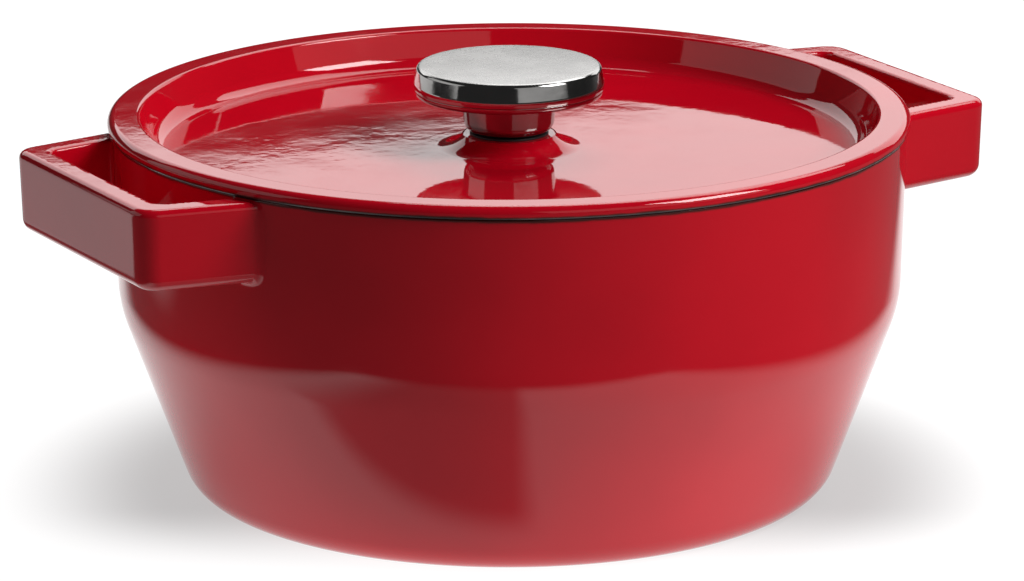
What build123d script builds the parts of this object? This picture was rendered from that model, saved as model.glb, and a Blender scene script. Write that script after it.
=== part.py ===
"""Covered casserole: an enamelled cast-iron pot with two loop handles, and a lid with a steel knob.

Millimetres. +Z is up, the origin is the centre of the base on the surface the pot stands on,
and the two handles lie along X. The lid and everything bolted to it sit in the closed position.
"""

import math
import os

from build123d import *

# ---- Pot casting ----
pot_height = 117.0  # the rim's flat top, where the lid sits
rim_radius = 125.0
wall_lean = 1.6  # how much the upright wall draws in between the rim and the shoulder
shoulder_height = 61.8  # where the upright wall turns into the cone
shoulder_blend = 40.0
cone_angle = 20.2  # from upright
base_blend = 12.0
pot_wall = 4.2
pot_floor = 5.0
inner_base_blend = 16.0
rim_edge_round = 0.6
foot_ring_width = 8.0
foot_recess = 1.0

# ---- Loop handles, cast with the pot ----
handle_top_drop = 0.8  # below the pot's rim
handle_height = 25.4
handle_reach = 25.0  # bar's outer face beyond the rim
handle_bar = 9.0
handle_width = 92.4  # across the outer corners
handle_arm = 7.6
handle_splay = 10.0  # how much each arm leans outwards towards the pot
handle_draft = 2.0
handle_corner_outer = 8.0
handle_corner_inner = 4.0
handle_root_round = 4.0
handle_top_round = 2.4
handle_bottom_round = 3.8
root_bury = 1.0  # how far the arm's flare is drawn past the wall's face

# ---- Lid casting ----
lid_overhang = 1.0  # beyond the pot's rim
lid_flange = 4.0
lid_rim_width = 10.0  # the flat ring round the recess
lid_depth = 12.0  # from the rim's top down to the recess floor
lid_wall = 3.6
lid_wall_draft = 4.2  # how much the recess wall draws in on its way down
lid_edge_round = 2.4
lid_under_edge_round = 0.8
lid_floor_blend = 6.0
lid_seat_clearance = 1.0  # radial play between the lid's locating wall and the pot
boss_top_radius = 14.7
boss_height = 4.2
boss_flare = 10.0
boss_edge_round = 1.0
boss_flange = 3.8  # metal under the boss's top
boss_pocket_radius = 12.0
drip_first_ring = 42.0  # radius of the innermost ring of drip points
drip_ring_spacing = 26.0
drip_pitch = 30.0  # between the points of one ring, measured round it
drip_margin = 12.0  # kept clear inside the foot of the recess wall
drip_radius = 2.2
drip_height = 2.0
drip_taper = 28.0

# ---- Knob and its fixing ----
gasket_thickness = 0.6
gasket_radius = 12.4
stem_foot_radius = 14.0
stem_neck_radius = 15.0
stem_height = 11.8
stem_foot_round = 4.0
stem_wall = 1.5
disc_radius = 30.0
disc_height = 9.8
disc_wall = 1.2
disc_crown = 0.3  # how much the disc's top domes up
disc_edge_round = 1.6
disc_lip = 2.0  # height of the lower shell's rim under the seam
disc_under_round = 1.4
lip_inset = 0.5  # the lower shell's lip stands this far inside the cap's edge
stem_neck_round = 1.2
screw_radius = 3.0
screw_head_radius = 5.6
screw_head_height = 3.0
screw_slot_width = 1.2
screw_slot_depth = 1.4
screw_length = 17.0
thread_clearance = 0.05
lid_hole_clearance = 0.3
flat_washer_radius = 8.5
flat_washer_thickness = 1.2
spring_washer_radius = 5.3
spring_washer_thickness = 1.5
spring_washer_split = 0.8
washer_clearance = 0.2
insert_radius = 8.0
insert_height = 9.0
insert_flange = 1.6

# ---- Sizes and levels that follow from those above ----
shoulder_radius = rim_radius - wall_lean
lid_radius = rim_radius + lid_overhang
shoulder_drop = math.tan(math.radians(cone_angle))
base_corner_radius = shoulder_radius - shoulder_height * shoulder_drop
foot_radius = base_corner_radius - base_blend / math.tan(math.radians(90 + cone_angle) / 2)
inner_rim_radius = rim_radius - pot_wall
handle_top = pot_height - handle_top_drop
lid_top = pot_height + lid_flange
recess_floor = lid_top - lid_depth
recess_radius = lid_radius - lid_rim_width
lid_underside = recess_floor - lid_wall
boss_top = recess_floor + boss_height
boss_seat = boss_top - boss_flange
stem_base = boss_top + gasket_thickness
disc_base = stem_base + stem_height
disc_seam = disc_base + disc_lip
disc_top = disc_base + disc_height
screw_hole_radius = screw_radius + lid_hole_clearance
head_seat = boss_seat - flat_washer_thickness - spring_washer_thickness


def wall_radius(height):
    """Outer radius of the pot's upright wall at a height above its shoulder."""
    share = (height - shoulder_height) / (pot_height - shoulder_height)
    return shoulder_radius + (rim_radius - shoulder_radius) * share


def handle_trapezoid(side, bar_face, half_width):
    """Plan outline of one handle loop, from its bar back to well inside the pot wall."""
    root = rim_radius - handle_bar - 2 * handle_root_round
    root_half = half_width + (bar_face - root) * math.tan(math.radians(handle_splay))
    return [
        (side * bar_face, -half_width),
        (side * bar_face, half_width),
        (side * root, root_half),
        (side * root, -root_half),
    ]


def corners_near(vertices, distance):
    """The four outline corners whose distance from the dish's axis is closest to the one given."""
    return sorted(vertices, key=lambda v: abs(math.hypot(v.X, v.Y) - distance))[:4]


# ---- The two handle loops, joined by a disc that lies inside the pot's wall ----
root_circle = wall_radius(handle_top - handle_height) - root_bury
bar_outer = rim_radius + handle_reach
bar_inner = bar_outer - handle_bar
half_outer = handle_width / 2
half_inner = half_outer - handle_arm

with BuildPart() as handles:
    with BuildSketch(Plane.XY.offset(handle_top)) as loops:
        for side in (-1, 1):
            with BuildLine():
                Polyline(handle_trapezoid(side, bar_outer, half_outer), close=True)
            make_face()
        Circle(root_circle)
        fillet(corners_near(loops.vertices(), math.hypot(bar_outer, half_outer)), handle_corner_outer)
        fillet(corners_near(loops.vertices(), root_circle), handle_root_round)
    extrude(amount=-handle_height, taper=handle_draft)
    fillet(handles.faces().sort_by(Axis.Z)[-1].outer_wire().edges(), handle_top_round)
    fillet(handles.faces().sort_by(Axis.Z)[0].outer_wire().edges(), handle_bottom_round)

with BuildPart() as finger_gaps:
    with BuildSketch(Plane.XY.offset(handle_top)) as gaps:
        for side in (-1, 1):
            with BuildLine():
                Polyline(handle_trapezoid(side, bar_inner, half_inner), close=True)
            make_face()
        Circle(root_circle, mode=Mode.SUBTRACT)
        fillet(corners_near(gaps.vertices(), math.hypot(bar_inner, half_inner)), handle_corner_inner)
        fillet(corners_near(gaps.vertices(), root_circle), handle_corner_inner)
    extrude(amount=-handle_height, taper=-handle_draft)

# ---- Pot: outer shell, handles and cavity in one casting ----
with BuildPart() as pot:
    with BuildSketch(Plane.XZ):
        with BuildLine():
            FilletPolyline(
                (0, 0),
                (base_corner_radius, 0),
                (shoulder_radius, shoulder_height),
                (rim_radius, pot_height),
                (0, pot_height),
                radius=(0, base_blend, shoulder_blend, 0, 0),
                close=True,
            )
        make_face()
    revolve(axis=Axis.Z)
    add(handles.part - finger_gaps.part)
    with BuildSketch(Plane.XZ):
        with BuildLine():
            FilletPolyline(
                (0, pot_floor),
                (base_corner_radius - pot_wall + pot_floor * shoulder_drop, pot_floor),
                (shoulder_radius - pot_wall, shoulder_height),
                (inner_rim_radius, pot_height),
                (0, pot_height),
                radius=(0, inner_base_blend, shoulder_blend, 0, 0),
                close=True,
            )
        make_face()
    revolve(axis=Axis.Z, mode=Mode.SUBTRACT)
    with BuildSketch(Plane.XY):
        Circle(foot_radius - foot_ring_width)
    extrude(amount=foot_recess, mode=Mode.SUBTRACT)
    fillet(pot.edges().filter_by(GeomType.CIRCLE).group_by(Axis.Z)[-1], rim_edge_round)

# ---- Lid: flat rim, sunken floor, raised boss for the knob ----
lid_locating_radius = inner_rim_radius - lid_seat_clearance
recess_foot = recess_radius - lid_wall_draft
boss_foot_radius = boss_top_radius + 3.0
pocket_foot_radius = boss_pocket_radius + 1.5
drip_rings = 1 + int((recess_foot - drip_margin - drip_first_ring) / drip_ring_spacing)

with BuildPart() as lid:
    with BuildSketch(Plane.XZ):
        with BuildLine():
            FilletPolyline(
                (screw_hole_radius, boss_seat),
                (boss_pocket_radius, boss_seat),
                (pocket_foot_radius, lid_underside),
                (recess_foot + lid_wall, lid_underside),
                (lid_locating_radius, pot_height),
                (lid_radius, pot_height),
                (lid_radius, lid_top),
                (recess_radius, lid_top),
                (recess_foot, recess_floor),
                (boss_foot_radius, recess_floor),
                (boss_top_radius, boss_top),
                (screw_hole_radius, boss_top),
                radius=(
                    0,
                    1.5,
                    2.0,
                    lid_floor_blend,
                    0.6,
                    lid_under_edge_round,
                    lid_edge_round,
                    1.2,
                    lid_floor_blend,
                    boss_flare,
                    boss_edge_round,
                    0,
                ),
                close=True,
            )
        make_face()
    revolve(axis=Axis.Z)
    with BuildSketch(Plane.XY.offset(lid_underside)):
        for ring in range(drip_rings):
            ring_radius = drip_first_ring + ring * drip_ring_spacing
            with PolarLocations(ring_radius, round(2 * math.pi * ring_radius / drip_pitch)):
                Circle(drip_radius)
    extrude(amount=-drip_height, taper=drip_taper)

# ---- Heat-proof gasket between the knob and the enamel ----
with BuildPart() as knob_gasket:
    with BuildSketch(Plane.XY.offset(boss_top)):
        Circle(gasket_radius)
        Circle(screw_hole_radius, mode=Mode.SUBTRACT)
    extrude(amount=gasket_thickness)

# ---- Knob's lower shell: hollow stem, underside of the disc and its lip ----
lip_radius = disc_radius - lip_inset
with BuildPart() as knob_body:
    with BuildSketch(Plane.XZ):
        with BuildLine():
            FilletPolyline(
                (screw_hole_radius, stem_base),
                (stem_foot_radius, stem_base),
                (stem_neck_radius, disc_base),
                (lip_radius, disc_base),
                (lip_radius, disc_seam),
                (lip_radius - disc_wall, disc_seam),
                (lip_radius - disc_wall, disc_base + disc_wall),
                (stem_neck_radius - stem_wall, disc_base + disc_wall),
                (stem_foot_radius - stem_wall, stem_base + stem_wall),
                (screw_hole_radius, stem_base + stem_wall),
                radius=(0, stem_foot_round, stem_neck_round, disc_under_round, 0.25, 0, 0, 0, stem_foot_round - stem_wall, 0),
                close=True,
            )
        make_face()
    revolve(axis=Axis.Z)

# ---- Knob's cap: domed top shell that closes the disc ----
with BuildPart() as knob_cap:
    with BuildSketch(Plane.XZ):
        with BuildLine():
            rim_up = Line((disc_radius, disc_seam), (disc_radius, disc_top - disc_crown))
            dome = ThreePointArc(
                rim_up @ 1,
                (disc_radius / 2, disc_top - disc_crown / 4),
                (0, disc_top),
            )
            Line(dome @ 1, (0, disc_top - disc_wall))
            under = ThreePointArc(
                (0, disc_top - disc_wall),
                (disc_radius / 2, disc_top - disc_crown / 4 - disc_wall),
                (disc_radius - disc_wall - lip_inset, disc_top - disc_crown - disc_wall),
            )
            Line(under @ 1, (disc_radius - disc_wall - lip_inset, disc_seam))
            Line((disc_radius - disc_wall - lip_inset, disc_seam), rim_up @ 0)
        make_face()
    revolve(axis=Axis.Z)
    rim_circles = knob_cap.edges().filter_by(GeomType.CIRCLE)
    fillet(rim_circles.filter_by(lambda e: abs(e.radius - disc_radius) < 0.01).sort_by(Axis.Z)[-1], disc_edge_round)

# ---- Threaded insert fixed inside the stem ----
insert_base = stem_base + stem_wall
insert_flange_radius = stem_foot_radius - stem_foot_round  # the flat inside the stem's foot
with BuildPart() as knob_insert:
    with BuildSketch(Plane.XY.offset(insert_base)):
        Circle(insert_flange_radius)
    extrude(amount=insert_flange)
    with BuildSketch(Plane.XY.offset(insert_base)):
        RegularPolygon(insert_radius, 6)
    extrude(amount=insert_height)
    with BuildSketch(Plane.XY.offset(insert_base)):
        Circle(screw_radius + thread_clearance)
    extrude(amount=insert_height, mode=Mode.SUBTRACT)

# ---- Knob screw, driven from under the lid ----
with BuildPart() as knob_screw:
    with BuildSketch(Plane.XY.offset(head_seat)):
        Circle(screw_radius)
    extrude(amount=screw_length)
    chamfer(knob_screw.faces().sort_by(Axis.Z)[-1].edges(), screw_radius / 6)
    with BuildSketch(Plane.XY.offset(head_seat)):
        Circle(screw_head_radius)
    extrude(amount=-screw_head_height)
    fillet(knob_screw.faces().sort_by(Axis.Z)[0].edges(), screw_head_height / 3)
    with BuildSketch(Plane.XY.offset(head_seat - screw_head_height)):
        Rectangle(2 * screw_head_radius, screw_slot_width)
    extrude(amount=screw_slot_depth, mode=Mode.SUBTRACT)

# ---- Washers between the screw head and the casting ----
with BuildPart() as flat_washer:
    with BuildSketch(Plane.XY.offset(boss_seat)):
        Circle(flat_washer_radius)
        Circle(screw_hole_radius, mode=Mode.SUBTRACT)
    extrude(amount=-flat_washer_thickness)

with BuildPart() as spring_washer:
    with BuildSketch(Plane.XY.offset(head_seat)):
        Circle(spring_washer_radius)
        Circle(screw_radius + washer_clearance, mode=Mode.SUBTRACT)
        with Locations((spring_washer_radius, 0)):
            Rectangle(2 * spring_washer_radius, spring_washer_split, mode=Mode.SUBTRACT)
    extrude(amount=spring_washer_thickness)

# ---- Write every piece ----
pieces = {
    "pot": pot,
    "lid": lid,
    "knob_gasket": knob_gasket,
    "knob_body": knob_body,
    "knob_cap": knob_cap,
    "knob_insert": knob_insert,
    "knob_screw": knob_screw,
    "flat_washer": flat_washer,
    "spring_washer": spring_washer,
}
os.makedirs("parts", exist_ok=True)
for name, piece in pieces.items():
    piece.part.label = name
    export_step(piece.part, f"parts/{name}.step")
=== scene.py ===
"""Covered casserole: fine meshes, enamel and steel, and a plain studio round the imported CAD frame.

The frame is in metres. Sizes below are in millimetres, as on a drawing, and MM turns them
into metres.
+Z is up, the pot stands on z = 0 and its handles lie along X.
"""

import math

import bpy
import numpy as np
from mathutils import Matrix, Quaternion, Vector
from mathutils.geometry import delaunay_2d_cdt


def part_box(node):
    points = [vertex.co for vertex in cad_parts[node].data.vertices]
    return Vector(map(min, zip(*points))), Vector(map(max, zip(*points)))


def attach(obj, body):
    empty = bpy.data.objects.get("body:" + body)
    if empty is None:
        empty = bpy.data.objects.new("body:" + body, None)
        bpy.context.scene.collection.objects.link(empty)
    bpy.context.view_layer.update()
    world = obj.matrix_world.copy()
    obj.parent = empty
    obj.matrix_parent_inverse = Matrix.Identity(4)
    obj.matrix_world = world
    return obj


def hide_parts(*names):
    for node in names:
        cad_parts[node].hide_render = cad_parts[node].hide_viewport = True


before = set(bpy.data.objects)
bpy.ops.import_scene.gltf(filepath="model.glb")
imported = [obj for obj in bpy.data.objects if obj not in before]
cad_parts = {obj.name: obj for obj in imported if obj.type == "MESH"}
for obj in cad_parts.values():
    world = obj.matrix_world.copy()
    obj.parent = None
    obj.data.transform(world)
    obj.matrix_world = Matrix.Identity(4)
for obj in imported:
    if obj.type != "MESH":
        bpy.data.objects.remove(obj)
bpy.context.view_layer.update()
MM = 0.001


def size_of(node):
    """Lowest and highest corner of a CAD node, in millimetres."""
    low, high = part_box(node)
    return low / MM, high / MM


# ---- Sizes that the frame gives ----
pot_high = size_of("pot")[1]
lid_high = size_of("lid")[1]
cap_high = size_of("knob_cap")[1]
stem_low, stem_high = size_of("knob_body")
gasket_low = size_of("knob_gasket")[0]
POT_HEIGHT = pot_high.z
RIM_RADIUS = pot_high.y
LID_TOP = lid_high.z
LID_RADIUS = lid_high.y
BAR_OUTER = pot_high.x

# ---- Pot ----
WALL = 4.2
FLOOR = 5.0
WALL_LEAN = 1.6
SHOULDER_RADIUS = RIM_RADIUS - WALL_LEAN
SHOULDER_HEIGHT = 61.8
SHOULDER_BLEND = 40.0
CONE = math.tan(math.radians(20.2))
BASE_CORNER = SHOULDER_RADIUS - SHOULDER_HEIGHT * CONE
BASE_BLEND = 12.0
INNER_BASE_BLEND = 16.0
FOOT_INNER = 84.3
RIM_EDGE = 0.6
FOOT_RECESS = 1.0
FOOT_EDGE = 0.4

# ---- Handles ----
HANDLE_TOP = POT_HEIGHT - 0.8
HANDLE_BOTTOM = HANDLE_TOP - 25.4
BAR_THICKNESS = 9.0
HALF_WIDTH = 46.2
ARM_THICKNESS = 7.6
SPLAY = math.tan(math.radians(10.0))
DRAFT = math.tan(math.radians(2.0))
CORNER_OUTER = 8.0
CORNER_INNER = 4.0
EDGE_TOP = 2.4
EDGE_BOTTOM = 3.8
EDGE_GAP = 1.4
ROOT_DEPTH = 25.0  # how far inside the rim the arms are drawn
ROOT_BLEND = 1.8  # fillet where an arm meets the wall
ROOT_BLEND_TOP = 0.8  # the same at the handle's top
ROOT_BLEND_RUN = 6.0  # height over which one turns into the other

# ---- Lid ----
RIM_WIDTH = 10.0
LID_FLOOR = LID_TOP - 12.0
LID_WALL = 3.6
LID_UNDER = LID_FLOOR - LID_WALL
RECESS = LID_RADIUS - RIM_WIDTH
RECESS_FOOT = RECESS - 4.2
LOCATING = RIM_RADIUS - WALL - 1.0
BOSS_TOP = gasket_low.z
BOSS_RADIUS = 14.7
BOSS_SPREAD = 3.0
BOSS_SEAT = BOSS_TOP - 3.8
FLAT_INNER = 20.0  # the flat underside runs from here
FLAT_OUTER = RECESS_FOOT + LID_WALL - 8.0  # to here
SCREW_HOLE = 3.3
DRIP_RINGS = (42.0, 68.0, 94.0)
DRIP_PITCH = 30.0
DRIP_RADIUS = 2.6
DRIP_HEIGHT = 2.0
DRIP_SIDES = 24
DRIP_STEPS = 9

# ---- Knob ----
DISC_RADIUS = cap_high.x
DISC_TOP = cap_high.z
DISC_SEAM = stem_high.z
DISC_BASE = DISC_SEAM - 2.0
DISC_WALL = 1.2
STEM_BASE = stem_low.z
STEM_FOOT = 14.0
STEM_NECK = 15.0
STEM_FOOT_ROUND = 4.0
STEM_WALL = 1.5
CAP_INNER = DISC_RADIUS - 1.7
LIP_RADIUS = DISC_RADIUS - 0.5
CROWN = 0.3
GASKET_RADIUS = 12.4


# ---------------------------------------------------------------- outlines
FAR_OFF = 1e9


def outline(corners, closed=True):
    """Parts of an outline through (r, z, radius) corners, each corner rounded by an arc.

    A part is ("line", start, end) or ("arc", centre, radius, first angle, turn). Travel is
    anticlockwise, so the solid is on the left.
    """
    count = len(corners)
    points = [np.array(c[:2], float) for c in corners]
    entry, leave, arcs = [], [], []
    for i, corner in enumerate(corners):
        here, radius = points[i], corner[2]
        if radius == 0 or (not closed and i in (0, count - 1)):
            entry.append(here)
            leave.append(here)
            arcs.append(None)
            continue
        back = points[i - 1] - here
        ahead = points[(i + 1) % count] - here
        back /= np.linalg.norm(back)
        ahead /= np.linalg.norm(ahead)
        half = math.acos(np.clip(back @ ahead, -1, 1)) / 2
        reach = radius / math.tan(half)
        entry.append(here + back * reach)
        leave.append(here + ahead * reach)
        middle = (back + ahead) / np.linalg.norm(back + ahead)
        centre = here + middle * radius / math.sin(half)
        first = math.atan2(*(entry[-1] - centre)[::-1])
        last = math.atan2(*(leave[-1] - centre)[::-1])
        turn = (last - first + math.pi) % (2 * math.pi) - math.pi
        arcs.append(("arc", centre, radius, first, turn))
    parts = []
    for i in range(count):
        if arcs[i]:
            parts.append(arcs[i])
        if closed or i < count - 1:
            start, end = leave[i], entry[(i + 1) % count]
            if np.linalg.norm(end - start) > 1e-6:
                parts.append(("line", start, end))
    return parts


def trace(parts, arc_step=6.0, run=6.0):
    """Runs of (point, normal) along an outline's parts, close enough together to look smooth."""
    runs = []
    for part in parts:
        if part[0] == "line":
            _, start, end = part
            steps = max(1, round(np.linalg.norm(end - start) / run))
            share = np.linspace(0, 1, steps + 1)[:, None]
            along = (end - start) / np.linalg.norm(end - start)
            points = start + (end - start) * share
            normals = np.repeat([[along[1], -along[0]]], steps + 1, axis=0)
        else:
            _, centre, radius, first, turn = part
            steps = max(2, math.ceil(math.degrees(abs(turn)) / arc_step))
            angle = first + turn * np.linspace(0, 1, steps + 1)
            out = np.stack([np.cos(angle), np.sin(angle)], -1)
            points = centre + radius * out
            normals = out * math.copysign(1, turn)
        runs.append((points, normals))
    return runs


def signed_distance(parts, r, z):
    """Distance from points (r, z) to a closed outline, negative inside.

    It holds near the outline's lines and arcs, not round a sharp corner.
    """
    nearest = np.full(r.shape, FAR_OFF)
    signed = np.zeros(r.shape)
    for part in parts:
        if part[0] == "line":
            _, start, end = part
            dr, dz = end - start
            share = np.clip(((r - start[0]) * dr + (z - start[1]) * dz) / (dr * dr + dz * dz), 0, 1)
            gap = np.hypot(r - start[0] - share * dr, z - start[1] - share * dz)
            outside = dr * (z - start[1]) - dz * (r - start[0]) < 0
        else:
            _, centre, radius, first, turn = part
            angle = np.arctan2(z - centre[1], r - centre[0])
            off = np.abs((angle - first - turn / 2 + math.pi) % (2 * math.pi) - math.pi)
            beyond = np.hypot(r - centre[0], z - centre[1]) - radius
            gap = np.where(off <= abs(turn) / 2 + 1e-9, np.abs(beyond), FAR_OFF)
            outside = beyond * turn > 0
        closer = gap < nearest
        nearest = np.where(closer, gap, nearest)
        signed = np.where(closer, np.where(outside, gap, -gap), signed)
    return signed


# ---------------------------------------------------------------- meshes
def add_mesh(name, points, faces, body, normals=None):
    """A smooth-shaded object from millimetre points, riding on a body."""
    mesh = bpy.data.meshes.new(name)
    mesh.from_pydata([tuple(p) for p in np.asarray(points) * MM], [], faces)
    mesh.validate()
    mesh.shade_smooth()
    if normals is not None:
        mesh.normals_split_custom_set([tuple(n) for n in normals])
    piece = bpy.data.objects.new(name, mesh)
    bpy.context.scene.collection.objects.link(piece)
    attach(piece, body)
    return piece


def lathe_arrays(parts, segments, arc_step=6.0, run=6.0):
    """Points, faces and one normal per face corner of an outline turned about Z."""
    points, faces, normals = [], [], []
    angle = np.linspace(0, 2 * math.pi, segments, endpoint=False)
    cos, sin = np.cos(angle), np.sin(angle)
    seen = {}

    def ring(r, z):
        key = (round(r, 5), round(z, 5))
        if key not in seen:
            first = len(points)
            if r < 1e-5:
                points.append((0, 0, z))
                seen[key] = [first] * segments
            else:
                points.extend(zip(r * cos, r * sin, np.full(segments, z)))
                seen[key] = list(range(first, first + segments))
        return seen[key]

    for run_points, run_normals in trace(parts, arc_step, run):
        steps = zip(run_points[:-1], run_points[1:], run_normals[:-1], run_normals[1:])
        for p, q, m, n in steps:
            if p[0] < 1e-5 and q[0] < 1e-5:
                continue
            low, high = ring(*p), ring(*q)
            for i in range(segments):
                j = (i + 1) % segments
                corner = [(low[i], i, m), (low[j], j, m), (high[j], j, n), (high[i], i, n)]
                if low[i] == low[j]:
                    corner.pop(1)
                if high[i] == high[j]:
                    corner.pop(-1)
                faces.append([c[0] for c in corner])
                normals.extend((c[2][0] * cos[c[1]], c[2][0] * sin[c[1]], c[2][1]) for c in corner)
    return points, faces, normals


def lathe(name, corners, body, segments=256, arc_step=6.0, run=6.0):
    """A turned piece from its (r, z, radius) corners."""
    points, faces, normals = lathe_arrays(outline(corners), segments, arc_step, run)
    return add_mesh(name, points, faces, body, normals)


def round_max(a, b, radius):
    """Intersection of two distance fields whose shared edge is rounded by the radius."""
    corner = np.hypot(np.maximum(a + radius, 0), np.maximum(b + radius, 0))
    return np.minimum(-radius, np.maximum(a, b)) + corner


def round_min(a, b, radius):
    """Union of two distance fields with a fillet of the radius in the corner between them."""
    corner = np.hypot(np.maximum(radius - a, 0), np.maximum(radius - b, 0))
    return np.maximum(radius, np.minimum(a, b)) - corner


def polygon_distance(corners, x, y):
    """Distance to a convex anticlockwise polygon, negative inside."""
    nearest = np.full(x.shape, FAR_OFF)
    outside = np.full(x.shape, -FAR_OFF)
    for (x0, y0), (x1, y1) in zip(corners, corners[1:] + corners[:1]):
        dx, dy = x1 - x0, y1 - y0
        share = np.clip(((x - x0) * dx + (y - y0) * dy) / (dx * dx + dy * dy), 0, 1)
        nearest = np.minimum(nearest, np.hypot(x - x0 - share * dx, y - y0 - share * dy))
        outside = np.maximum(outside, ((x - x0) * dy - (y - y0) * dx) / math.hypot(dx, dy))
    return np.where(outside > 0, nearest, -nearest)


# ---------------------------------------------------------------- pot
FAR = 200.0
pot_outside = outline([
    (-FAR, 0, 0),
    (BASE_CORNER, 0, BASE_BLEND),
    (SHOULDER_RADIUS, SHOULDER_HEIGHT, SHOULDER_BLEND),
    (RIM_RADIUS, POT_HEIGHT, RIM_EDGE),
    (-FAR, POT_HEIGHT, 0),
])
lean_out = (RIM_RADIUS - SHOULDER_RADIUS) / (POT_HEIGHT - SHOULDER_HEIGHT)
pot_cavity = outline([
    (-FAR, FLOOR, 0),
    (BASE_CORNER - WALL + FLOOR * CONE, FLOOR, INNER_BASE_BLEND),
    (SHOULDER_RADIUS - WALL, SHOULDER_HEIGHT, SHOULDER_BLEND),
    (RIM_RADIUS - WALL + FAR * lean_out, POT_HEIGHT + FAR, 0),
    (-FAR, POT_HEIGHT + FAR, 0),
])


def handle_plan(bar_face, half_width, rounding):
    """Plan corners of one handle's outline, drawn in by the rounding that is added back."""
    root = RIM_RADIUS - ROOT_DEPTH
    face, half = bar_face - rounding, half_width - rounding * (math.hypot(1, SPLAY) - SPLAY)
    root_half = half + (face - root) * SPLAY
    return [(root, -root_half), (face, -half), (face, half), (root, root_half)]


outer_plan = handle_plan(BAR_OUTER, HALF_WIDTH, CORNER_OUTER)
gap_plan = handle_plan(BAR_OUTER - BAR_THICKNESS, HALF_WIDTH - ARM_THICKNESS, CORNER_INNER)


def handle_distance(x, y, z):
    """Distance to the two handle loops, which are mirror images."""
    x = np.abs(x)
    drop = DRAFT * (HANDLE_TOP - z)
    outer = polygon_distance(outer_plan, x, y) - CORNER_OUTER + drop
    gap = polygon_distance(gap_plan, x, y) - CORNER_INNER - drop
    loop = round_max(outer, z - HANDLE_TOP, EDGE_TOP)
    loop = round_max(loop, HANDLE_BOTTOM - z, EDGE_BOTTOM)
    return round_max(loop, -gap, EDGE_GAP)


def pot_distance(x, y, z):
    """Distance to the whole pot casting, negative inside the metal."""
    r = np.hypot(x, y)
    solid = signed_distance(pot_outside, r, z)
    near = (np.abs(x) > RIM_RADIUS - 40) & (z > HANDLE_BOTTOM - 12)
    if near.any():
        depth = np.clip((HANDLE_TOP - z[near]) / ROOT_BLEND_RUN, 0, 1)
        blend = ROOT_BLEND_TOP + (ROOT_BLEND - ROOT_BLEND_TOP) * depth * depth * (3 - 2 * depth)
        handles = handle_distance(x[near], y[near], z[near])
        solid[near] = round_min(solid[near], handles, blend)
    solid = round_max(solid, -signed_distance(pot_cavity, r, z), RIM_EDGE)
    recess = np.maximum(r - FOOT_INNER, z - FOOT_RECESS)
    return round_max(solid, -recess, FOOT_EDGE)


def stepped(*stops):
    """Values from stop to stop, each given as (end, step) after the first."""
    values = [stops[0]]
    for end, step in stops[1:]:
        count = max(1, round((end - values[-1]) / step))
        values.extend(np.linspace(values[-1], end, count + 1)[1:])
    return np.array(values)


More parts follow.
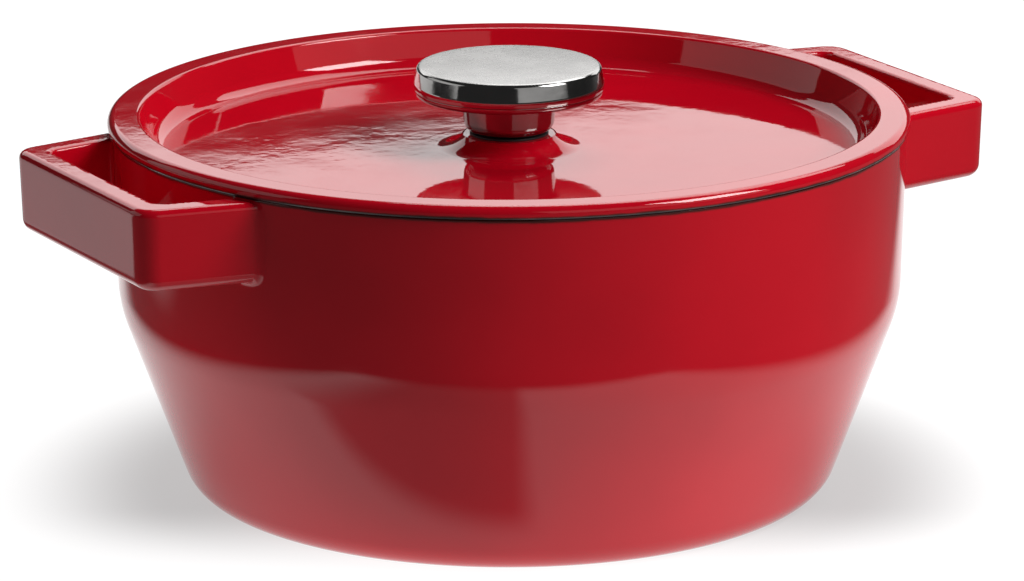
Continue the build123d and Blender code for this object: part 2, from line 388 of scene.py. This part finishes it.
def net_surface(distance, theta, radii, levels):
    """Surface net of a distance field on a cylindrical lattice.

    Each lattice cell that the surface crosses gets one point, each lattice edge that it crosses
    gets one quad, and a fan closes each of the two holes over the axis.
    """
    angle, r, z = np.meshgrid(theta, radii, levels, indexing="ij")
    field = distance((r * np.cos(angle)).ravel(), (r * np.sin(angle)).ravel(), z.ravel())
    field = field.reshape(r.shape)
    field = np.concatenate([field, field[:1]])
    inside = field < 0
    ni, nj, nk = (n - 1 for n in inside.shape)
    corner_sets = [
        inside[i : i + ni, j : j + nj, k : k + nk]
        for i in (0, 1) for j in (0, 1) for k in (0, 1)
    ]
    filled = sum(c.astype(int) for c in corner_sets)
    cells = (filled > 0) & (filled < 8)
    cell_id = np.full(cells.shape, -1)
    cell_id[cells] = np.arange(cells.sum())
    wrapped = np.concatenate([theta, [theta[0] + 2 * math.pi]])
    axes = (wrapped, radii, levels)
    total = np.zeros((cells.sum(), 3))
    count = np.zeros(cells.sum())
    ci, cj, ck = np.nonzero(cells)
    quads = []
    for axis in range(3):
        others = [a for a in range(3) if a != axis]
        first = field[tuple(slice(0, -1) if a == axis else slice(None) for a in range(3))]
        second = field[tuple(slice(1, None) if a == axis else slice(None) for a in range(3))]
        for da in (0, 1):
            for db in (0, 1):
                index = [ci.copy(), cj.copy(), ck.copy()]
                index[others[0]] += da
                index[others[1]] += db
                f0, f1 = first[tuple(index)], second[tuple(index)]
                crossed = (f0 < 0) != (f1 < 0)
                share = np.where(crossed, f0 / np.where(crossed, f0 - f1, 1), 0)
                spot = [axes[a][index[a]] for a in range(3)]
                spot[axis] = spot[axis] + share * (axes[axis][index[axis] + 1] - spot[axis])
                total += np.where(crossed[:, None], np.stack(spot, -1), 0)
                count += crossed
        changed = (first < 0) != (second < 0)
        edge = list(np.nonzero(changed))
        keep = np.ones(len(edge[0]), bool)
        for a in others:
            if a != 0:
                keep &= (edge[a] > 0) & (edge[a] < field.shape[a] - 1)
            else:
                keep &= edge[0] < len(theta)
        edge = [e[keep] for e in edge]
        around = []
        for da, db in ((-1, -1), (0, -1), (0, 0), (-1, 0)):
            index = [e.copy() for e in edge]
            index[others[0]] += da
            index[others[1]] += db
            index[0] %= len(theta)
            around.append(cell_id[tuple(index)])
        around = np.stack(around, -1)
        flip = (first[tuple(edge)] < 0) ^ (axis == 1)
        around[flip] = around[flip][:, ::-1]
        quads.append(around)
    spots = total / count[:, None]
    turn, reach, level = spots.T
    points = np.stack([reach * np.cos(turn), reach * np.sin(turn), level], -1)
    faces = [list(map(int, q)) for q in np.concatenate(quads)]
    for side, level in enumerate(np.nonzero((cell_id[:, 0, :] >= 0).all(0))[0]):
        pole = len(points)
        ring = cell_id[:, 0, level]
        points = np.vstack([points, [0, 0, points[ring, 2].mean()]])
        for i in range(len(ring)):
            pair = [int(ring[i]), int(ring[(i + 1) % len(ring)])]
            faces.append([pole] + (pair[::-1] if side == 0 else pair))
    return points, faces


def settle(distance, points, rounds=4, reach=0.02):
    """Points moved onto a distance field's surface, and the surface normals there."""
    for step in range(rounds + 1):
        x, y, z = points.T
        slope = np.stack([
            distance(x + reach, y, z) - distance(x - reach, y, z),
            distance(x, y + reach, z) - distance(x, y - reach, z),
            distance(x, y, z + reach) - distance(x, y, z - reach),
        ], -1) / (2 * reach)
        steep = np.maximum((slope**2).sum(-1, keepdims=True), 0.25)
        normals = slope / np.sqrt(np.maximum((slope**2).sum(-1, keepdims=True), 1e-12))
        if step < rounds:
            points = points - distance(x, y, z)[:, None] * slope / steep
    return points, normals


def degrees_between(start, end, step):
    return np.radians(np.arange(round((end - start) / step)) * step + start)


# The lattice is fine where the handles, the foot ring and the rim are, and coarse elsewhere.
handle_arc = 34.0
theta = np.concatenate([
    degrees_between(-handle_arc, handle_arc, 0.4),
    degrees_between(handle_arc, 180 - handle_arc, 1.4),
    degrees_between(180 - handle_arc, 180 + handle_arc, 0.4),
    degrees_between(180 + handle_arc, 360 - handle_arc, 1.4),
])
corner_reach = math.hypot(BAR_OUTER, HALF_WIDTH) + 1
radii = stepped(20.0, (82.0, 4.0), (86.0, 0.5), (118.0, 2.0), (127.0, 0.6), (corner_reach, 0.8))
levels = stepped(-1.0, (2.0, 0.5), (9.0, 1.4), (86.0, 2.4), (113.0, 0.8), (118.2, 0.4))
pot_points, pot_faces = net_surface(pot_distance, theta, radii, levels)
pot_points, pot_normals = settle(pot_distance, pot_points)
pot = add_mesh("pot_casting", pot_points, pot_faces, "pot")
pot.data.normals_split_custom_set_from_vertices([tuple(n) for n in pot_normals])
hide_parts("pot")


# ---------------------------------------------------------------- lid
lid_turned = outline([
    (FLAT_OUTER, LID_UNDER, 0),
    (RECESS_FOOT + LID_WALL, LID_UNDER, 6.0),
    (LOCATING, POT_HEIGHT, 0.6),
    (LID_RADIUS, POT_HEIGHT, 0.8),
    (LID_RADIUS, LID_TOP, 2.4),
    (RECESS, LID_TOP, 1.2),
    (RECESS_FOOT, LID_FLOOR, 6.0),
    (BOSS_RADIUS + BOSS_SPREAD, LID_FLOOR, 10.0),
    (BOSS_RADIUS, BOSS_TOP, 1.0),
    (SCREW_HOLE, BOSS_TOP, 0),
    (SCREW_HOLE, BOSS_SEAT, 0),
    (12.0, BOSS_SEAT, 1.5),
    (13.5, LID_UNDER, 2.0),
    (FLAT_INNER, LID_UNDER, 0),
], closed=False)
LID_SEGMENTS = 288
lid_points, lid_faces, lid_normals = lathe_arrays(lid_turned, LID_SEGMENTS, arc_step=7.5, run=9.0)


def drip_profile(share):
    """Drop and slope of a drip point at a share of its radius: a smooth nipple."""
    drop = DRIP_HEIGHT * (1 + math.cos(math.pi * share)) / 2
    slope = DRIP_HEIGHT * math.pi * math.sin(math.pi * share) / 2 / DRIP_RADIUS
    return drop, slope


def add_underside(points, faces, normals):
    """Closes the lid's underside with a flat ring that carries the drip points."""
    drips = []
    for radius in DRIP_RINGS:
        count = round(2 * math.pi * radius / DRIP_PITCH)
        drips.extend((radius, 2 * math.pi * i / count) for i in range(count))
    around = DRIP_SIDES
    level = [i for i, p in enumerate(points) if abs(p[2] - LID_UNDER) < 1e-4]
    borders = [
        [i for i in level if abs(math.hypot(*points[i][:2]) - r) < 1e-3]
        for r in (FLAT_INNER, FLAT_OUTER)
    ]
    flat = [Vector(points[i][:2]) for border in borders for i in border]
    source = [i for border in borders for i in border]
    loops = [list(range(0, LID_SEGMENTS)), list(range(LID_SEGMENTS, 2 * LID_SEGMENTS))]
    for radius, angle in drips:
        centre = np.array([radius * math.cos(angle), radius * math.sin(angle)])
        rings = []
        for share in np.linspace(1, 0.12, DRIP_STEPS):
            drop, slope = drip_profile(share)
            ring = []
            for k in range(around):
                turn = 2 * math.pi * k / around
                out = np.array([math.cos(turn), math.sin(turn)])
                ring.append(len(points))
                points.append((*(centre + share * DRIP_RADIUS * out), LID_UNDER - drop))
            rings.append((ring, slope))
        pole = len(points)
        points.append((*centre, LID_UNDER - DRIP_HEIGHT))

        def leaning(slope, k):
            turn = 2 * math.pi * k / around
            length = math.hypot(1, slope)
            return (slope * math.cos(turn) / length, slope * math.sin(turn) / length, -1 / length)

        for (outer, steep), (inner, gentle) in zip(rings[:-1], rings[1:]):
            for k in range(around):
                m = (k + 1) % around
                faces.append([outer[k], inner[k], inner[m], outer[m]])
                normals.extend([leaning(steep, k), leaning(gentle, k)])
                normals.extend([leaning(gentle, m), leaning(steep, m)])
        last, slope = rings[-1]
        for k in range(around):
            m = (k + 1) % around
            faces.append([last[k], pole, last[m]])
            normals.extend([leaning(slope, k), (0, 0, -1), leaning(slope, m)])
        first = len(flat)
        flat.extend(Vector(points[i][:2]) for i in rings[0][0])
        source.extend(rings[0][0])
        loops.append(list(range(first, first + around)))
    edges = [(loop[i], loop[(i + 1) % len(loop)]) for loop in loops for i in range(len(loop))]
    triangles = delaunay_2d_cdt(flat, edges, [], 0, 1e-4)[2]
    centres = [(r * math.cos(a), r * math.sin(a)) for r, a in drips]
    for triangle in triangles:
        a, b, c = (flat[i] for i in triangle)
        middle = (a + b + c) / 3
        in_drip = min(math.dist(middle, centre) for centre in centres) < DRIP_RADIUS * 0.99
        if middle.length < FLAT_INNER * 0.9999 or in_drip:
            continue
        turning = (b - a).cross(c - a)
        corner = [source[i] for i in triangle]
        faces.append(corner[::-1] if turning > 0 else corner)
        normals.extend([(0, 0, -1)] * 3)


add_underside(lid_points, lid_faces, lid_normals)
lid = add_mesh("lid_casting", lid_points, lid_faces, "lid", lid_normals)
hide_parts("lid")


# ---------------------------------------------------------------- knob
knob_body = lathe("knob_lower_shell", [
    (SCREW_HOLE, STEM_BASE, 0),
    (STEM_FOOT, STEM_BASE, STEM_FOOT_ROUND),
    (STEM_NECK, DISC_BASE, 1.2),
    (LIP_RADIUS, DISC_BASE, 1.4),
    (LIP_RADIUS, DISC_SEAM, 0.2),
    (CAP_INNER, DISC_SEAM, 0),
    (CAP_INNER, DISC_BASE + DISC_WALL, 0),
    (STEM_NECK - STEM_WALL, DISC_BASE + DISC_WALL, 0),
    (STEM_FOOT - STEM_WALL, STEM_BASE + STEM_WALL, STEM_FOOT_ROUND - STEM_WALL),
    (SCREW_HOLE, STEM_BASE + STEM_WALL, 0),
], "lid", run=3.0)
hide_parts("knob_body")

crown_radius = (DISC_RADIUS**2 + CROWN**2) / (2 * CROWN)


def crown_points(radius, drop, count):
    """Points along the knob's domed top, from the axis outwards."""
    return [
        (r, DISC_TOP - drop - crown_radius + math.sqrt(crown_radius**2 - r * r), 0)
        for r in np.linspace(0, radius, count)
    ]


dome = crown_points(DISC_RADIUS - 2.8, 0, 12)
under = crown_points(CAP_INNER, DISC_WALL, 6)
knob_cap = lathe("knob_top_shell", [
    *under,
    (CAP_INNER, DISC_SEAM, 0),
    (DISC_RADIUS - 0.25, DISC_SEAM, 0.3),
    (DISC_RADIUS, DISC_SEAM + 1.4, 5.0),
    (DISC_RADIUS - 1.1, DISC_TOP - CROWN, 1.5),
    *reversed(dome),
], "lid", arc_step=5.0)
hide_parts("knob_cap")

gasket = lathe("heat_gasket", [
    (SCREW_HOLE, BOSS_TOP, 0),
    (GASKET_RADIUS, BOSS_TOP, 0.15),
    (GASKET_RADIUS, STEM_BASE, 0.15),
    (SCREW_HOLE, STEM_BASE, 0),
], "lid")
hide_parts("knob_gasket")


# ---------------------------------------------------------------- materials
def node_material(name):
    """A fresh node material: returns it, its principled shader and its node tree."""
    material = bpy.data.materials.new(name)
    material.use_nodes = True
    return material, material.node_tree.nodes["Principled BSDF"], material.node_tree


def noise(tree, coordinate, scale, detail=2.0):
    """Even noise from 0 to 1, with its scale per metre."""
    node = tree.nodes.new("ShaderNodeTexNoise")
    node.inputs["Scale"].default_value = scale
    node.inputs["Detail"].default_value = detail
    tree.links.new(coordinate, node.inputs["Vector"])
    return node.outputs["Fac"]


def maths(tree, operation, a, b=0.0):
    """A maths node on two values or sockets."""
    node = tree.nodes.new("ShaderNodeMath")
    node.operation = operation
    for socket, value in zip(node.inputs, (a, b)):
        if isinstance(value, bpy.types.NodeSocket):
            tree.links.new(value, socket)
        else:
            socket.default_value = value
    return node.outputs[0]


def length(tree, a, b):
    """The length of the vector (a, b)."""
    squares = maths(tree, "ADD", maths(tree, "MULTIPLY", a, a), maths(tree, "MULTIPLY", b, b))
    return maths(tree, "SQRT", squares)


def ramp(tree, value, low, high, start=0.0, end=1.0):
    """A smooth step of a value between low and high."""
    node = tree.nodes.new("ShaderNodeMapRange")
    node.interpolation_type = "SMOOTHSTEP"
    tree.links.new(value, node.inputs["Value"])
    node.inputs["From Min"].default_value = low
    node.inputs["From Max"].default_value = high
    node.inputs["To Min"].default_value = start
    node.inputs["To Max"].default_value = end
    return node.outputs["Result"]


def mix_colour(tree, share, first, second):
    """The first colour where the share is 0 and the second where it is 1."""
    node = tree.nodes.new("ShaderNodeMix")
    node.data_type = "RGBA"
    tree.links.new(share, node.inputs["Factor"])
    for name, value in (("A", first), ("B", second)):
        socket = [s for s in node.inputs if s.name == name and s.type == "RGBA"][0]
        if isinstance(value, bpy.types.NodeSocket):
            tree.links.new(value, socket)
        else:
            socket.default_value = (*value, 1)
    return [s for s in node.outputs if s.type == "RGBA"][0]


def bump(tree, height, distance, under=None):
    """A bump of a height in metres, laid on the one under it."""
    node = tree.nodes.new("ShaderNodeBump")
    node.inputs["Distance"].default_value = distance
    node.inputs["Strength"].default_value = 1.0
    tree.links.new(height, node.inputs["Height"])
    if under is not None:
        tree.links.new(under, node.inputs["Normal"])
    return node.outputs["Normal"]


RED = (0.58, 0.0020, 0.0130)
RED_DEEP = (0.50, 0.0014, 0.0110)
BROWN_EDGE = (0.10, 0.012, 0.010)
BLACK = (0.006, 0.006, 0.006)


def enamel(name, black_mask):
    """Glossy red enamel with matt black enamel where black_mask(tree, x, y, z, radius) is 1."""
    material, shader, tree = node_material(name)
    coordinate = tree.nodes.new("ShaderNodeTexCoord").outputs["Object"]
    split = tree.nodes.new("ShaderNodeSeparateXYZ")
    tree.links.new(coordinate, split.inputs[0])
    x, y, z = split.outputs
    radius = length(tree, x, y)
    uneven = maths(tree, "SUBTRACT", noise(tree, coordinate, 90.0, 3.0), 0.5)
    wander = maths(tree, "MULTIPLY", uneven, 0.0012)
    black, brown = black_mask(tree, z, radius, wander)

    cloud = noise(tree, coordinate, 14.0, 3.0)
    speck = noise(tree, coordinate, 900.0, 1.0)
    body = mix_colour(tree, ramp(tree, cloud, 0.3, 0.7), RED_DEEP, RED)
    body = mix_colour(tree, ramp(tree, speck, 0.70, 0.80, 0.0, 0.25), body, RED_DEEP)
    colour = mix_colour(tree, brown, body, BROWN_EDGE)
    colour = mix_colour(tree, black, colour, BLACK)
    tree.links.new(colour, shader.inputs["Base Color"])

    gloss = ramp(tree, noise(tree, coordinate, 60.0, 4.0), 0.3, 0.75, 0.025, 0.06)
    rough = tree.nodes.new("ShaderNodeMix")
    tree.links.new(black, rough.inputs["Factor"])
    tree.links.new(gloss, rough.inputs["A"])
    satin = ramp(tree, noise(tree, coordinate, 400.0, 2.0), 0.3, 0.7, 0.32, 0.48)
    tree.links.new(satin, rough.inputs["B"])
    tree.links.new(rough.outputs["Result"], shader.inputs["Roughness"])

    waves = bump(tree, noise(tree, coordinate, 55.0, 1.0), 0.00003)
    waves = bump(tree, noise(tree, coordinate, 260.0, 2.0), 0.000012, under=waves)
    tree.links.new(waves, shader.inputs["Normal"])
    shader.inputs["IOR"].default_value = 1.52
    shader.inputs["Specular IOR Level"].default_value = 0.5
    return material


def pot_mask(tree, z, radius, wander):
    """Black inside the pot and on the flat of its rim, brown where the red thins out to it."""
    level = maths(tree, "ADD", z, wander)
    reach = maths(tree, "ADD", radius, wander)
    rim = maths(
        tree, "MULTIPLY",
        ramp(tree, reach, (RIM_RADIUS - 0.1) * MM, (RIM_RADIUS - 0.7) * MM),
        ramp(tree, level, (POT_HEIGHT - 0.8) * MM, (POT_HEIGHT - 0.35) * MM),
    )
    hollow = maths(
        tree, "MULTIPLY",
        ramp(tree, radius, (RIM_RADIUS - 1.6) * MM, (RIM_RADIUS - 2.6) * MM),
        ramp(tree, z, (FLOOR - 1.5) * MM, (FLOOR - 0.5) * MM),
    )
    inside = maths(tree, "MULTIPLY", hollow, inside_share(tree, z, radius))
    foot = ramp(tree, z, 0.0006, 0.0002)
    brown = maths(
        tree, "MULTIPLY",
        ramp(tree, radius, (RIM_RADIUS + 0.3) * MM, RIM_RADIUS * MM),
        ramp(tree, level, (POT_HEIGHT - 1.4) * MM, (POT_HEIGHT - 0.6) * MM),
    )
    return maths(tree, "MAXIMUM", maths(tree, "MAXIMUM", rim, inside), foot), brown


def inside_share(tree, z, radius):
    """1 within the pot's cavity: nearer the axis than the middle of the wall at that height."""
    low, high = (BASE_CORNER - WALL / 2) * MM, (SHOULDER_RADIUS - WALL / 2) * MM
    middle = ramp(tree, z, 0.0, SHOULDER_HEIGHT * MM, low, high)
    middle.node.interpolation_type = "LINEAR"
    return ramp(tree, maths(tree, "SUBTRACT", middle, radius), -0.0002, 0.0002)


def lid_mask(tree, z, radius, wander):
    """Black under the lid, brown round its lower edge."""
    level = maths(tree, "ADD", z, wander)
    under = ramp(tree, level, (POT_HEIGHT + 0.75) * MM, (POT_HEIGHT + 0.35) * MM)
    within = ramp(tree, radius, (RECESS - 2.0) * MM, (RECESS_FOOT + 3.4) * MM)
    under_floor = ramp(tree, level, (LID_FLOOR - 1.2) * MM, (LID_FLOOR - 1.8) * MM)
    outer = ramp(tree, radius, (RECESS + 1.0) * MM, (RECESS + 2.0) * MM)
    black = maths(
        tree, "MAXIMUM",
        maths(tree, "MULTIPLY", within, under_floor),
        maths(tree, "MULTIPLY", under, outer),
    )
    brown = maths(
        tree, "MULTIPLY",
        ramp(tree, level, (POT_HEIGHT + 1.3) * MM, (POT_HEIGHT + 0.7) * MM),
        ramp(tree, radius, RECESS * MM, (RECESS + 2.0) * MM),
    )
    return black, brown


def steel(name, base, low, high, brushing, lines, satin_above=None):
    """Bright steel whose roughness wanders between two values, and is duller above a height."""
    material, shader, tree = node_material(name)
    coordinate = tree.nodes.new("ShaderNodeTexCoord").outputs["Object"]
    stretch = tree.nodes.new("ShaderNodeMapping")
    stretch.inputs["Scale"].default_value = brushing
    tree.links.new(coordinate, stretch.inputs["Vector"])
    grain = noise(tree, stretch.outputs[0], lines, 3.0)
    cloud = noise(tree, coordinate, 70.0, 3.0)
    dull = tuple(c * 0.86 for c in base)
    colour = mix_colour(tree, ramp(tree, cloud, 0.35, 0.65), dull, base)
    tree.links.new(colour, shader.inputs["Base Color"])
    gloss = ramp(tree, grain, 0.25, 0.75, low, high)
    if satin_above is not None:
        height = tree.nodes.new("ShaderNodeSeparateXYZ")
        tree.links.new(coordinate, height.inputs[0])
        low, high = satin_above * MM, (satin_above + 0.5) * MM
        on_top = ramp(tree, height.outputs[2], low, high, 0.0, 0.2)
        gloss = maths(tree, "ADD", gloss, on_top)
    tree.links.new(gloss, shader.inputs["Roughness"])
    tree.links.new(bump(tree, grain, 0.000004), shader.inputs["Normal"])
    shader.inputs["Metallic"].default_value = 1.0
    return material


def rubber():
    """Matt black silicone."""
    material, shader, tree = node_material("black_silicone")
    coordinate = tree.nodes.new("ShaderNodeTexCoord").outputs["Object"]
    grain = noise(tree, coordinate, 1500.0, 3.0)
    colour = mix_colour(tree, grain, (0.010, 0.010, 0.011), (0.022, 0.021, 0.021))
    tree.links.new(colour, shader.inputs["Base Color"])
    tree.links.new(ramp(tree, grain, 0.2, 0.8, 0.5, 0.7), shader.inputs["Roughness"])
    tree.links.new(bump(tree, grain, 0.00002), shader.inputs["Normal"])
    return material


def dress(piece, material):
    """Gives a piece its one material."""
    piece.data.materials.clear()
    piece.data.materials.append(material)


dress(pot, enamel("red_enamel_pot", pot_mask))
dress(lid, enamel("red_enamel_lid", lid_mask))
EVEN = (1, 1, 1)
CAP_STEEL, STEM_STEEL, PLAIN_STEEL = (0.46, 0.45, 0.44), (0.40, 0.39, 0.38), (0.55, 0.54, 0.53)
satin_from = DISC_TOP - CROWN - 0.5
dress(knob_cap, steel("polished_steel", CAP_STEEL, 0.05, 0.11, EVEN, 500.0, satin_from))
dress(knob_body, steel("polished_stem_steel", STEM_STEEL, 0.07, 0.13, EVEN, 500.0))
dress(gasket, rubber())
plain_steel = steel("plain_steel", PLAIN_STEEL, 0.22, 0.38, (1, 1, 6), 700.0)
for node in ("knob_insert", "knob_screw", "flat_washer", "spring_washer"):
    dress(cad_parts[node], plain_steel)


# ---------------------------------------------------------------- camera
VIEW_AZIMUTH = math.radians(-28.74)
VIEW_ELEVATION = math.radians(13.33)
VIEW_DISTANCE = 1.848
AIM_HEIGHT = 0.0618
PAN = 0.0009
TILT = 0.0002
ROLL = 0.0032
towards = Vector((
    math.sin(VIEW_AZIMUTH) * math.cos(VIEW_ELEVATION),
    -math.cos(VIEW_AZIMUTH) * math.cos(VIEW_ELEVATION),
    math.sin(VIEW_ELEVATION),
))
camera_place = Vector((0, 0, LID_TOP * MM)) + towards * VIEW_DISTANCE
camera = bpy.data.objects.new("camera", bpy.data.cameras.new("camera"))
bpy.context.scene.collection.objects.link(camera)
camera.data.lens = 206.8
camera.data.sensor_width = 36.0
forward = (Vector((0, 0, AIM_HEIGHT)) - camera_place).normalized()
right = forward.cross(Vector((0, 0, 1))).normalized()
forward = (forward + right * PAN + Vector((0, 0, TILT))).normalized()
right = (right - right.cross(forward) * ROLL).normalized()
up = right.cross(forward)
camera.matrix_world = Matrix((
    (right.x, up.x, -forward.x, camera_place.x),
    (right.y, up.y, -forward.y, camera_place.y),
    (right.z, up.z, -forward.z, camera_place.z),
    (0, 0, 0, 1),
))
bpy.context.scene.camera = camera
bpy.context.scene.view_settings.view_transform = "Standard"


# ---------------------------------------------------------------- studio
def studio_point(across, back, height):
    """A point so far to the camera's right, behind the dish and above the floor, in metres."""
    side = Vector((math.cos(VIEW_AZIMUTH), math.sin(VIEW_AZIMUTH), 0))
    away = Vector((-math.sin(VIEW_AZIMUTH), math.cos(VIEW_AZIMUTH), 0))
    return side * across + away * back + Vector((0, 0, height))


def softbox(name, place, aim, width, height, radiance, roll=0.0):
    """A rectangular lamp at a place, facing a point, of an even radiance, rolled by degrees."""
    data = bpy.data.lights.new(name, "AREA")
    data.shape = "RECTANGLE"
    data.size, data.size_y = width, height
    data.energy = radiance * math.pi * width * height
    lamp = bpy.data.objects.new(name, data)
    bpy.context.scene.collection.objects.link(lamp)
    lamp.location = place
    facing = (Vector(aim) - Vector(place)).to_track_quat("-Z", "Y")
    lamp.rotation_euler = (facing @ Quaternion((0, 0, 1), math.radians(roll))).to_euler()
    lamp.visible_camera = False
    return lamp


def studio_floor():
    """A pale floor that glows with painted light: a painted pool of light round and behind the dish,
    with a painted flag shadow and a painted contact shadow in it.
    """
    size = 6.0
    mesh = bpy.data.meshes.new("floor")
    corners = [(-size, -size, 0), (size, -size, 0), (size, size, 0), (-size, size, 0)]
    mesh.from_pydata(corners, [], [(0, 1, 2, 3)])
    floor = bpy.data.objects.new("floor", mesh)
    bpy.context.scene.collection.objects.link(floor)
    material, shader, tree = node_material("pale_floor")
    coordinate = tree.nodes.new("ShaderNodeTexCoord").outputs["Object"]
    turned = tree.nodes.new("ShaderNodeMapping")
    turned.inputs["Rotation"].default_value = (0, 0, -VIEW_AZIMUTH)
    tree.links.new(coordinate, turned.inputs["Vector"])
    split = tree.nodes.new("ShaderNodeSeparateXYZ")
    tree.links.new(turned.outputs[0], split.inputs[0])
    across, back = split.outputs[0], split.outputs[1]

    def times(a, b):
        return maths(tree, "MULTIPLY", a, b)

    def without(a, b):
        return times(a, maths(tree, "SUBTRACT", 1.0, b))

    fan = times(back, 0.15)  # the painted pool of light widens towards the back
    # painted pool of light: the floor glows brightly round and behind the dish and dimly in front,
    # though it is no lamp
    painted_light_pool = ramp(tree, back, -0.26, -0.21)
    painted_light_pool = times(painted_light_pool, ramp(tree, maths(tree, "SUBTRACT", across, fan), 0.24, 0.18))
    painted_light_pool = times(painted_light_pool, ramp(tree, maths(tree, "ADD", across, fan), -0.24, -0.18))
    # a painted patch of light on the floor at the back left
    painted_light_left_back = times(ramp(tree, across, -0.30, -0.36), ramp(tree, back, 0.02, 0.10))
    painted_light_pool = maths(tree, "MAXIMUM", painted_light_pool, times(painted_light_left_back, 0.75))
    # painted shadow of a flag, darkening the floor's glow just in front of the dish, left of its
    # middle
    painted_flag_shadow = times(ramp(tree, across, -0.16, -0.08), ramp(tree, across, 0.015, 0.0))
    painted_light_pool = without(painted_light_pool, times(painted_flag_shadow, ramp(tree, back, -0.112, -0.125, 0.0, 0.75)))
    # painted contact shadow, darkening the floor's glow close beside and behind the dish
    painted_contact_shadow = ramp(tree, length(tree, across, back), 0.17, 0.11, 0.0, 0.5)
    painted_light_pool = without(painted_light_pool, times(painted_contact_shadow, ramp(tree, back, -0.10, -0.03)))
    # the painted light and shade become the floor's glow
    painted_floor_glow = maths(tree, "ADD", times(painted_light_pool, 0.95), 0.03)
    shader.inputs["Base Color"].default_value = (0.12, 0.12, 0.12, 1)
    shader.inputs["Roughness"].default_value = 0.9
    shader.inputs["Specular IOR Level"].default_value = 0.1
    shader.inputs["Emission Color"].default_value = (1, 1, 1, 1)
    tree.links.new(painted_floor_glow, shader.inputs["Emission Strength"])
    mesh.materials.append(material)


studio_floor()


def from_camera(turn, lift, distance):
    """A point at a distance from the lid, at degrees to the camera's right and above level."""
    turn, lift = math.radians(turn), math.radians(lift)
    reach = distance * math.cos(lift)
    height = LID_TOP * MM + distance * math.sin(lift)
    return studio_point(reach * math.sin(turn), -reach * math.cos(turn), height)


lid_centre = Vector((0, 0, LID_TOP * MM))
BACKDROP_HEIGHT = 0.888
softbox(
    "backdrop", studio_point(0, 1.6, BACKDROP_HEIGHT), studio_point(0, 0, BACKDROP_HEIGHT),
    3.2, 0.8, 1.55, roll=8,
)
softbox("overhead", studio_point(0.35, 0.75, 1.15), lid_centre, 1.1, 0.7, 3.0)
softbox("key", from_camera(64, 38, 1.4), lid_centre, 0.6, 0.6, 14.0)
softbox("wide_right", from_camera(43, 20, 1.5), lid_centre, 1.90, 0.85, 0.5)
softbox("wide_left", from_camera(-92, 20, 1.5), lid_centre, 1.60, 0.85, 0.6)

world = bpy.data.worlds.new("studio")
bpy.context.scene.world = world
world.use_nodes = True
world.node_tree.nodes["Background"].inputs["Color"].default_value = (0.03, 0.03, 0.03, 1)
